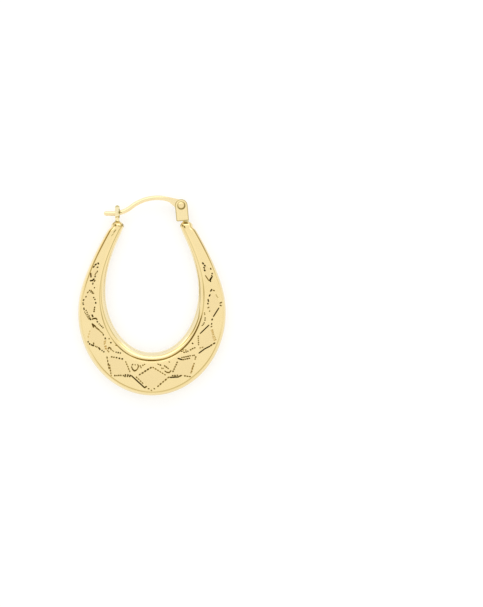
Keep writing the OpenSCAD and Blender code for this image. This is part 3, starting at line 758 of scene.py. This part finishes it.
# The neck is painted pale, partly as pale solder and partly as a painted highlight against its shade
catch_fork = merged_piece("catch_fork",
                          [catch_strip(), lathe(catch_neck, (CATCH_X, CAP_TOP, 0), up_the_arm, pale=1.0)])
catch_fork.data.materials.append(
    gold("pale_catch_gold", (0.93, 0.84, 0.54, 1), (0.91, 0.79, 0.47, 1), 0.13, (0.94, 0.81, 0.48, 1)))
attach(catch_fork, "body")
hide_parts("hoop")


# The hinge fork: two round-topped cheeks on a foot, sawn from one piece of
# gold and soldered to the right cap by a short neck. The wire's eye turns
# between the cheeks.

RIVET_X, RIVET_Y = RIVET = (4.11, 13.62)
FORK_WIDTH, FORK_DROP, FORK_WALL = 1.75, 2.17, 0.33
FORK_LEAN = math.radians(5.5)
SLOT_HALF = 0.375
CHEEK_TOP = SLOT_HALF + FORK_WALL
# The side of the rivet and of its seat that is painted darkest, as shade
RIVET_DARK_SIDE = math.radians(-60)


def plate(outline, levels, dark_levels=None, seat=()):
    """A plate with rounded edges: its outline pulled in by an amount at each height, and a rivet's seat."""
    ring = np.array(outline)
    sides = len(ring)
    ahead, behind = np.roll(ring, -1, 0) - ring, ring - np.roll(ring, 1, 0)
    ahead = ahead / np.linalg.norm(ahead, axis=1)[:, None]
    behind = behind / np.linalg.norm(behind, axis=1)[:, None]
    inward = np.stack([-(ahead + behind)[:, 1], (ahead + behind)[:, 0]], 1)
    inward /= np.linalg.norm(inward, axis=1)[:, None]
    aim = ring / np.linalg.norm(ring, axis=1)[:, None]
    rings = [(ring + inward * pull, z) for pull, z in levels] + [(aim * r, levels[-1][1]) for r in seat]
    points = [(x, y, z) for places, z in rings for x, y in places]
    darkening = 0.0
    if dark_levels is not None:
        shade = ring_shade(np.arctan2(aim[:, 1], aim[:, 0]), RIVET_DARK_SIDE)
        shades = [np.ones(sides)] * len(levels) + [shade] * len(seat)
        darkening = np.concatenate([level * shade for level, shade in zip(dark_levels, shades)])
    return points, closed_tube(len(rings), sides), darkening, 0.0


def rounded_levels(low, high, low_round, high_round):
    """Heights and pulls that round the lower and upper edges of a plate."""
    turns = np.radians([0, 22, 45, 68, 90])
    return ([(low_round * (1 - math.sin(a)), low + low_round * (1 - math.cos(a))) for a in turns]
            + [(high_round * (1 - math.cos(a)), high - high_round * (1 - math.sin(a))) for a in turns])


def on_the_lean(part):
    """A part of the fork drawn upright about the rivet, set at the fork's lean."""
    points, faces, darkening, pale = part
    c, s = math.cos(FORK_LEAN), math.sin(FORK_LEAN)
    return [(RIVET_X + c * x - s * y, RIVET_Y + s * x + c * y, z) for x, y, z in points], faces, darkening, pale


def mirrored(outline):
    """The left part of an outline as the right part that goes on from it."""
    return [(-x, y) for x, y in outline[::-1]]


half, corner, cut_corner = FORK_WIDTH / 2, 0.14, 0.04
SIDE_HEIGHTS, CORNER_TURNS = np.linspace(-0.15, -1.9, 13), np.radians([0, 30, 60, 90])
TOP_STEPS, FOOT_STEPS = 41, 15
cheek_left = [(-half, y) for y in SIDE_HEIGHTS]
cheek_left += [(-half + corner * (1 - math.cos(a)), -FORK_DROP + corner * (1 - math.sin(a)))
               for a in CORNER_TURNS]
cheek_outline = [(half * math.cos(a), half * math.sin(a)) for a in np.linspace(0, math.pi, TOP_STEPS)]
cheek_outline += cheek_left + [(x, -FORK_DROP) for x in np.linspace(-half, half, FOOT_STEPS)[2:-2]]
cheek_outline += mirrored(cheek_left)
CHEEK_ROUNDS, CHEEK_FLAT_IN = (0.03, 0.09), 0.13
cheek_levels = rounded_levels(SLOT_HALF, CHEEK_TOP, *CHEEK_ROUNDS) + [(CHEEK_FLAT_IN, CHEEK_TOP)]
# How dark each ring of the cheek is painted, as shade: faint at its outer edge, and darker in the seat round
# the rivet, most on its lower right
CHEEK_EDGE_SHADE = [0, 0, 0, 0, 0, 0.12, 0.17, 0.19, 0.19, 0.17, 0]
RIVET_SEAT, RIVET_SEAT_SHADE = (0.66, 0.60, 0.555, 0.50, 0.40), [0, 0.10, 0.35, 0.60, 0.60]
front_cheek = plate(cheek_outline, cheek_levels, CHEEK_EDGE_SHADE + RIVET_SEAT_SHADE, RIVET_SEAT)
back_cheek = ([(x, y, -z) for x, y, z in front_cheek[0]], [f[::-1] for f in front_cheek[1]],
              *front_cheek[2:])
# The foot reaches a little into both cheeks
FOOT_SUNK_IN = 0.05
foot_half = SLOT_HALF + FOOT_SUNK_IN
foot_left = [(-half, FORK_WALL - FORK_DROP), (-half, corner - FORK_DROP),
             (cut_corner - half, cut_corner - FORK_DROP), (corner - half, -FORK_DROP)]
foot = plate(foot_left + mirrored(foot_left), [(0, -foot_half), (0, 0), (0, foot_half)])
NECK_X = 4.74
# The neck from the cap up: radius, height and painted shade
hinge_neck = [(0.30, -0.30, 0.05), (0.46, -0.03, 0.08), (0.41, 0.03, 0.14), (0.38, 0.09, 0.16),
              (0.37, 0.15, 0.12), (0.37, 0.20, 0.10), (0.39, 0.24, 0.10), (0.42, 0.30, 0.10)]
# The hinge's neck is painted pale all over, a painted highlight against the shade it stands in
fork_parts = [on_the_lean(front_cheek), on_the_lean(back_cheek), on_the_lean(foot),
              lathe(hinge_neck, (NECK_X, CAP_TOP, 0), up_the_arm, pale=1.0)]
hinge_fork = merged_piece("hinge_fork", fork_parts)
hinge_fork.data.materials.append(
    gold("bright_fork_gold", (0.965, 0.81, 0.46, 1), (0.93, 0.76, 0.41, 1), 0.13, (0.96, 0.89, 0.62, 1)))
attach(hinge_fork, "body")
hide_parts("hoop")


# The rivet: a round pin through the cheeks and the eye, its two ends
# hammered into low domed heads.

RIVET_R, HEAD_R, HEAD_RISE = 0.30, 0.5, 0.18
COLLAR_R, HEAD_LIFT, SHANK_LIFT, RIVET_SIDES = HEAD_R - 0.03, 0.004, 0.001, 48
# The dome: degrees from its top, and painted shade
DOME = [(90, 0.60), (82, 0.60), (72, 0.55), (62, 0.32), (50, 0.08), (36, 0), (21, 0), (7, 0)]


def through(a, b, h):
    """An axis that runs through the thickness, towards the front."""
    return (a, b, h)


upper_head = []
for degrees, level in DOME:
    turn = math.radians(degrees)
    upper_head.append((HEAD_R * math.sin(turn), CHEEK_TOP + HEAD_LIFT + HEAD_RISE * math.cos(turn), level))
# The collar where each head meets its cheek is painted dark, as shade
upper_shank = [(RIVET_R, CHEEK_TOP - SHANK_LIFT, 0), (COLLAR_R, CHEEK_TOP, 0.8)]
upper_half = upper_shank + upper_head
lower_half = [(r, -h, level) for r, h, level in upper_half[::-1]]
rivet = merged_piece("rivet", [lathe(lower_half + upper_half, (RIVET_X, RIVET_Y, 0), through, RIVET_SIDES,
                                     RIVET_DARK_SIDE)])
rivet.data.materials.append(gold("hammered_rivet_gold", (0.93, 0.77, 0.44, 1), (0.88, 0.70, 0.36, 1), 0.17))
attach(rivet, "body")
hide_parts("hinge_rivet")


# The ear wire: round gold wire bent over the ear from a straight tip, with
# its other end flattened and drilled as the hinge's eye. It passes through
# the lobe and springs into the catch.

TIP_REACH, TIP_BEND = 6.74, 5.44
RISE_RADIUS, RISE_ANGLE = 4.06, math.radians(38.8)
CROWN_RADIUS, SHOULDER_RADIUS, SHOULDER_ANGLE = 5.92, 4.85, math.radians(25)
TIP_STEPS, RISE_STEPS, CROWN_STEPS, SHOULDER_STEPS = 8, 20, 28, 24
FLAT_FROM, FLAT_TO = math.radians(3), math.radians(15)
FLAT_SQUARENESS, WIRE_SIDES = 0.65, 32
EYE_R, EYE_HOLE_R, EYE_HALF_THICK, EYE_ROUND, EYE_SIDES = 0.8, 0.34, 0.335, 0.07, 48

rise_centre = np.array([-TIP_BEND, TIP_Y + RISE_RADIUS])
rise_end = rise_centre + RISE_RADIUS * np.array([math.sin(RISE_ANGLE), -math.cos(RISE_ANGLE)])
crown_centre = rise_end + CROWN_RADIUS * np.array([math.sin(RISE_ANGLE), -math.cos(RISE_ANGLE)])
shoulder_centre = crown_centre + [0, CROWN_RADIUS - SHOULDER_RADIUS]


def turned_about(centre, radius, turn):
    """A place at a radius about a centre, by the turn from the right."""
    return centre[0] + radius * math.cos(turn), centre[1] + radius * math.sin(turn)


quarter_turn = math.pi / 2
tip_start = WIRE_R - TIP_REACH
tip_turns = np.radians([8, 24, 40, 56, 72])
wire_path = [(tip_start - WIRE_R * math.cos(a), TIP_Y) for a in tip_turns]
wire_path += [(x, TIP_Y) for x in np.linspace(tip_start, -TIP_BEND, TIP_STEPS)]
# The three arcs: centre, radius, first and last turn, and steps
wire_arcs = [(rise_centre, RISE_RADIUS, -quarter_turn, -quarter_turn + RISE_ANGLE, RISE_STEPS),
             (crown_centre, CROWN_RADIUS, quarter_turn + RISE_ANGLE, quarter_turn, CROWN_STEPS),
             (shoulder_centre, SHOULDER_RADIUS, quarter_turn, quarter_turn - SHOULDER_ANGLE, SHOULDER_STEPS)]
for centre, radius, first, last, steps in wire_arcs:
    wire_path += [turned_about(centre, radius, a) for a in np.linspace(first, last, steps)[1:]]
wire_path = np.array(wire_path)
wire_radii = np.full(len(wire_path), WIRE_R)
wire_radii[:len(tip_turns)] = WIRE_R * np.sin(tip_turns)
wire_along = np.gradient(wire_path, axis=0)
wire_along /= np.linalg.norm(wire_along, axis=1)[:, None]
# Towards the eye the round wire is hammered flat
wire_flat = np.zeros(len(wire_path))
wire_flat[-SHOULDER_STEPS + 1:] = ramp((np.linspace(0, SHOULDER_ANGLE, SHOULDER_STEPS)[1:] - FLAT_FROM)
                                       / (FLAT_TO - FLAT_FROM))
wire_points = []
for (px, py), (ax, ay), radius, flat in zip(wire_path, wire_along, wire_radii, wire_flat):
    for k in range(WIRE_SIDES):
        across, rise = squared_circle(2 * math.pi * k / WIRE_SIDES, 1 - FLAT_SQUARENESS * flat)
        wire_points.append((px - ay * radius * across, py + ax * radius * across, radius * rise))
wire_part = (wire_points, closed_tube(len(wire_path), WIRE_SIDES), 0.0, 0.0)

# The eye is a flat ring with rounded edges, and a web runs from it up to the wire
eye_profile = (rounded_levels(-EYE_HALF_THICK, EYE_HALF_THICK, EYE_ROUND, EYE_ROUND)
               + [(EYE_R - EYE_HOLE_R, EYE_HALF_THICK), (EYE_R - EYE_HOLE_R, -EYE_HALF_THICK)])
eye_points = [(*turned_about(RIVET, EYE_R - pull, 2 * math.pi * k / EYE_SIDES), z)
              for pull, z in eye_profile for k in range(EYE_SIDES)]
# The ring closes on itself, without flat ends
eye_faces = [[i % len(eye_points) for i in face]
             for face in closed_tube(len(eye_profile) + 1, EYE_SIDES)[:-2]]

# The web's corners lie just inside the wire and the eye, and its faces just outside the wire's
WEB_SUNK_IN_WIRE, WEB_SUNK_IN_EYE, WEB_PROUD, WEB_ROUND, WEB_INNER_R = 0.003, 0.01, 0.002, 0.05, 0.5
web_reach, web_half, eye_edge = WIRE_R - WEB_SUNK_IN_WIRE, WIRE_R + WEB_PROUD, EYE_R - WEB_SUNK_IN_EYE
web_places = [(shoulder_centre, SHOULDER_RADIUS + web_reach, 75),
              (shoulder_centre, SHOULDER_RADIUS - web_reach, 69), (RIVET, eye_edge, 226)]
web_places += [(RIVET, WEB_INNER_R, degrees) for degrees in (215, 190, 165, 140, 115, 90)]
web_places += [(RIVET, eye_edge, 73)]
web = plate([turned_about(centre, radius, math.radians(degrees)) for centre, radius, degrees in web_places],
            rounded_levels(-web_half, web_half, WEB_ROUND, WEB_ROUND))
ear_wire = merged_piece("ear_wire_bent", [wire_part, (eye_points, eye_faces, 0.0, 0.0), web])
ear_wire.data.materials.append(gold("drawn_wire_gold", (0.95, 0.81, 0.50, 1), (0.92, 0.75, 0.42, 1), 0.14))
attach(ear_wire, "wire")
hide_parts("ear_wire")


# The pale table that the earring lies on, with plain soft studio light all
# round and the camera straight above.

TABLE_HALF, TABLE_BELOW = 3.0, 0.00002
TABLE_GREYS = (0.50, 0.50, 0.50, 1), (0.53, 0.53, 0.52, 1)
TABLE_GLOW = 0.52

table_mesh = bpy.data.meshes.new("pale_table")
corners = [(x * TABLE_HALF, y * TABLE_HALF, 0) for x, y in ((-1, -1), (1, -1), (1, 1), (-1, 1))]
table_mesh.from_pydata(corners, [], [(0, 1, 2, 3)])
table = bpy.data.objects.new("pale_table", table_mesh)
bpy.context.scene.collection.objects.link(table)
table.location.z = -TABLE_BELOW
table_white = Finish("pale_table_white")
table_grain = table_white.add("ShaderNodeTexNoise", Scale=1500.0, Detail=2.0).outputs["Fac"]
table_white.feed(table_white.shader.inputs["Base Color"], table_white.mixed(table_grain, *TABLE_GREYS))
for socket, value in (("Roughness", 0.8), ("Specular IOR Level", 0.1),
                      ("Emission Color", (1.0, 1.0, 1.0, 1)), ("Emission Strength", TABLE_GLOW)):
    table_white.shader.inputs[socket].default_value = value
table_mesh.materials.append(table_white.material)

# The room's light by height, from below to above
ROOM_BANDS = [(0.0, (0.88, 0.87, 0.85, 1)), (0.2, (1.0, 0.995, 0.985, 1)),
              (0.45, (1.05, 1.04475, 1.03425, 1)), (0.7, (1.0, 0.995, 0.985, 1)), (1.0, (1.0, 1.0, 1.0, 1))]
world = bpy.data.worlds.new("soft_room")
world.use_nodes = True
bpy.context.scene.world = world
room = world.node_tree
facing = room.nodes.new("ShaderNodeTexCoord")
split = room.nodes.new("ShaderNodeSeparateXYZ")
bands = room.nodes.new("ShaderNodeValToRGB")
set_stops(bands, ROOM_BANDS)
room.links.new(facing.outputs["Generated"], split.inputs["Vector"])
room.links.new(split.outputs["Z"], bands.inputs["Fac"])
room.links.new(bands.outputs["Color"], room.nodes["Background"].inputs["Color"])

# A long soft box above and behind: its direction, its distance and size in metres, and its power
BOX_AZIMUTH, BOX_LEAN = math.radians(95), math.radians(50)
BOX_DISTANCE, BOX_WIDE, BOX_DEEP, BOX_POWER = 0.6, 1.1, 0.26, 0.75
lamp = bpy.data.lights.new("long_box_above", "AREA")
lamp.shape = "RECTANGLE"
lamp.size, lamp.size_y = BOX_WIDE, BOX_DEEP
lamp.energy = BOX_POWER
box = bpy.data.objects.new("long_box_above", lamp)
box.location = (*turned_about((0, 0), BOX_DISTANCE * math.sin(BOX_LEAN), BOX_AZIMUTH),
                BOX_DISTANCE * math.cos(BOX_LEAN))
box.rotation_euler = (BOX_LEAN, 0, BOX_AZIMUTH + math.pi / 2)
bpy.context.scene.collection.objects.link(box)

# The camera looks straight down from a metre above the body's middle layer
PIXEL, FRAME_HIGH, SENSOR, CAMERA_RISE = 0.14 / 1000, 607, 36, 1.0
CAMERA_X, CAMERA_Y = 0.01254, -0.00112
camera_data = bpy.data.cameras.new("overhead_camera")
camera_data.sensor_width = SENSOR
camera_data.lens = SENSOR * CAMERA_RISE / (FRAME_HIGH * PIXEL)
camera_data.clip_start, camera_data.clip_end = 0.01, 50
camera = bpy.data.objects.new("overhead_camera", camera_data)
camera.location = (CAMERA_X, CAMERA_Y, CAMERA_RISE + MIDDLE_RISE / 1000)
bpy.context.scene.collection.objects.link(camera)
bpy.context.scene.camera = camera
bpy.context.scene.view_settings.view_transform = "Standard"
bpy.context.scene.view_settings.look = "None"
